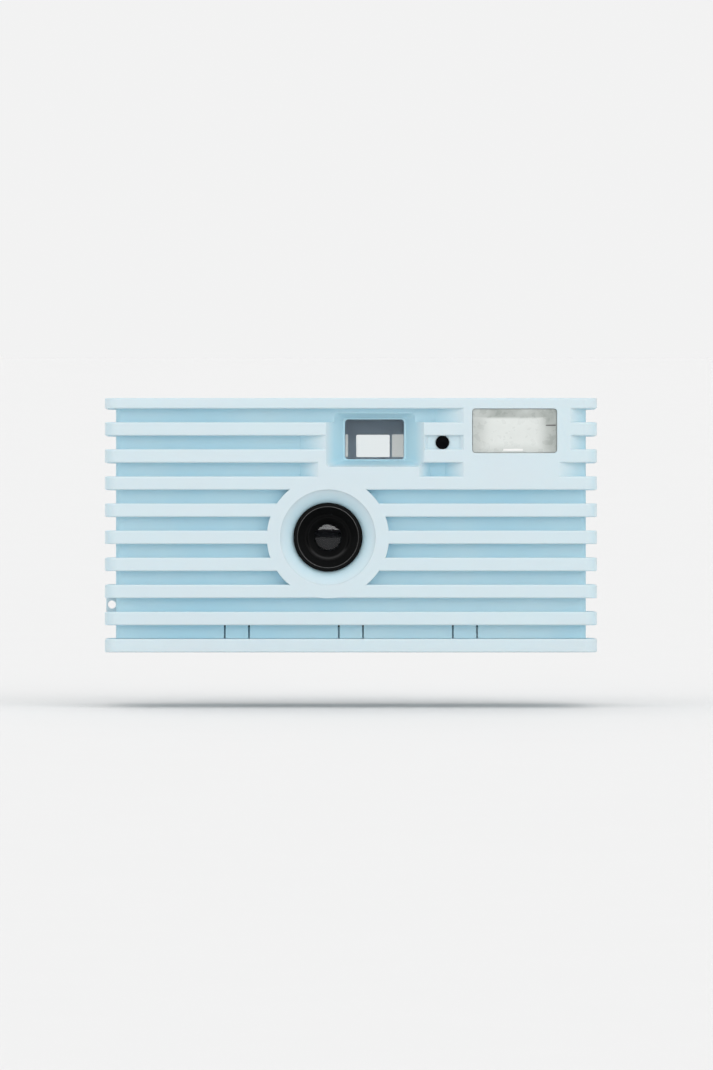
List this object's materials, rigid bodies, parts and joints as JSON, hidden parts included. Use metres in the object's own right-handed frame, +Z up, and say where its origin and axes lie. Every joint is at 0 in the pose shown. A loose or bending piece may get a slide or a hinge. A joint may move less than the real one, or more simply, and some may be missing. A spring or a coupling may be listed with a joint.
{
  "type": "film camera",
  "caption": "Compact 35 mm film camera with a pale blue ribbed case, fixed-focus lens, direct finder and built-in flash, with its shutter, wind and film path inside.",
  "frame": {"origin": "middle of the case's footprint, on the surface that the camera stands on", "axes": "+X to the right as seen from the front, along the case; +Y to the back, away from the subject; +Z up"},
  "size_m": [0.12, 0.036, 0.062],
  "materials": {
    "case_plastic": "satin",
    "control_plastic": "satin",
    "black_plastic": "satin",
    "finder_plastic": "satin",
    "black_metal": "matt",
    "spring_steel": "bright",
    "contact_metal": "bright",
    "clear_plastic": "polished",
    "lens_glass": "polished",
    "sensor_black": "polished",
    "reflector_chrome": "polished",
    "board_laminate": "satin",
    "capacitor_sleeve": "gloss",
    "winding_tape": "satin",
    "lamp_lens": "gloss",
    "cell_jacket": "gloss",
    "dial_plastic": "satin",
    "cassette_tin": "gloss",
    "film_base": "gloss"
  },
  "bodies": {
    "camera": {"aperture_plate": "black_metal", "base_cover": "case_plastic", "battery": "cell_jacket", "battery_contact_minus": "contact_metal", "battery_contact_plus": "contact_metal", "blade_spring": "spring_steel", "board_screws": "spring_steel", "button_spring": "spring_steel", "cassette_bottom_cap": "spring_steel", "cassette_shell": "cassette_tin", "cassette_top_cap": "spring_steel", "chassis": "black_plastic", "circuit_board": "board_laminate", "counter_window": "clear_plastic", "film_strip": "film_base", "finder_eyepiece": "clear_plastic", "finder_front_lens": "clear_plastic", "finder_housing": "finder_plastic", "flash_reflector": "reflector_chrome", "flash_tube": "lens_glass", "flash_window": "clear_plastic", "front_cover": "case_plastic", "lens_holder": "black_plastic", "lens_ring": "black_plastic", "light_pipe": "clear_plastic", "main_capacitor": "capacitor_sleeve", "ratchet_spring": "spring_steel", "ready_lamp": "lamp_lens", "sensor_window": "sensor_black", "shutter_plate": "black_metal", "strap_lug": "case_plastic", "striker_spring": "spring_steel", "taking_lens": "lens_glass", "transformer": "winding_tape"},
    "back_cover": {"back_cover": "case_plastic"},
    "shutter_button": {"shutter_button": "control_plastic"},
    "flash_switch": {"flash_switch": "control_plastic"},
    "thumbwheel": {"thumbwheel": "control_plastic", "cassette_spool": "black_plastic"},
    "sprocket_wheel": {"sprocket_wheel": "black_plastic"},
    "supply_spool": {"supply_spool": "black_plastic", "film_roll": "film_base"},
    "counter_dial": {"counter_dial": "dial_plastic"},
    "striker_lever": {"striker_lever": "spring_steel"},
    "shutter_blade": {"shutter_blade": "black_metal"}
  },
  "joints": [
    {"name": "back_cover_pull", "type": "slide", "parent": "camera", "child": "back_cover", "axis": [0, 1, 0], "range_m": [0, 0.04]},
    {"name": "shutter_button_press", "type": "slide", "parent": "camera", "child": "shutter_button", "axis": [0, 0, -1], "range_m": [0, 0.0012], "stiffness_N_per_m": 800, "deforming": ["button_spring"]},
    {"name": "flash_switch_slide", "type": "slide", "parent": "camera", "child": "flash_switch", "axis": [1, 0, 0], "range_m": [0, 0.004]},
    {"name": "thumbwheel_turn", "type": "hinge", "parent": "camera", "child": "thumbwheel", "pos_m": [-0.0402, 0.0013, 0.05445], "axis": [0, 0, 1], "continuous": true},
    {"name": "sprocket_turn", "type": "hinge", "parent": "camera", "child": "sprocket_wheel", "pos_m": [-0.0195, 0.00553, 0.042], "axis": [0, 0, 1], "continuous": true, "deforming": ["film_strip"]},
    {"name": "supply_turn", "type": "hinge", "parent": "camera", "child": "supply_spool", "pos_m": [0.029, 0.0025, 0.028], "axis": [0, 0, 1], "continuous": true},
    {"name": "counter_dial_turn", "type": "hinge", "parent": "camera", "child": "counter_dial", "pos_m": [-0.0122, -0.0025, 0.057], "axis": [0, 0, 1], "continuous": true},
    {"name": "striker_release", "type": "hinge", "parent": "camera", "child": "striker_lever", "pos_m": [-0.0135, -0.0122, 0.0385], "axis": [0, -1, 0], "range_deg": [0, 24], "stiffness_Nm_per_rad": 0.004},
    {"name": "shutter_blade_swing", "type": "hinge", "parent": "camera", "child": "shutter_blade", "pos_m": [-0.0164, -0.0102, 0.03305], "axis": [0, -1, 0], "range_deg": [0, 32.4]}
  ],
  "couplings": [
    {"joint": "sprocket_turn", "follows": "thumbwheel_turn", "ratio": 1},
    {"joint": "supply_turn", "follows": "thumbwheel_turn", "ratio": 0.672},
    {"joint": "counter_dial_turn", "follows": "thumbwheel_turn", "ratio": -0.03125},
    {"joint": "shutter_blade_swing", "follows": "striker_release", "ratio": 1.35}
  ]
}
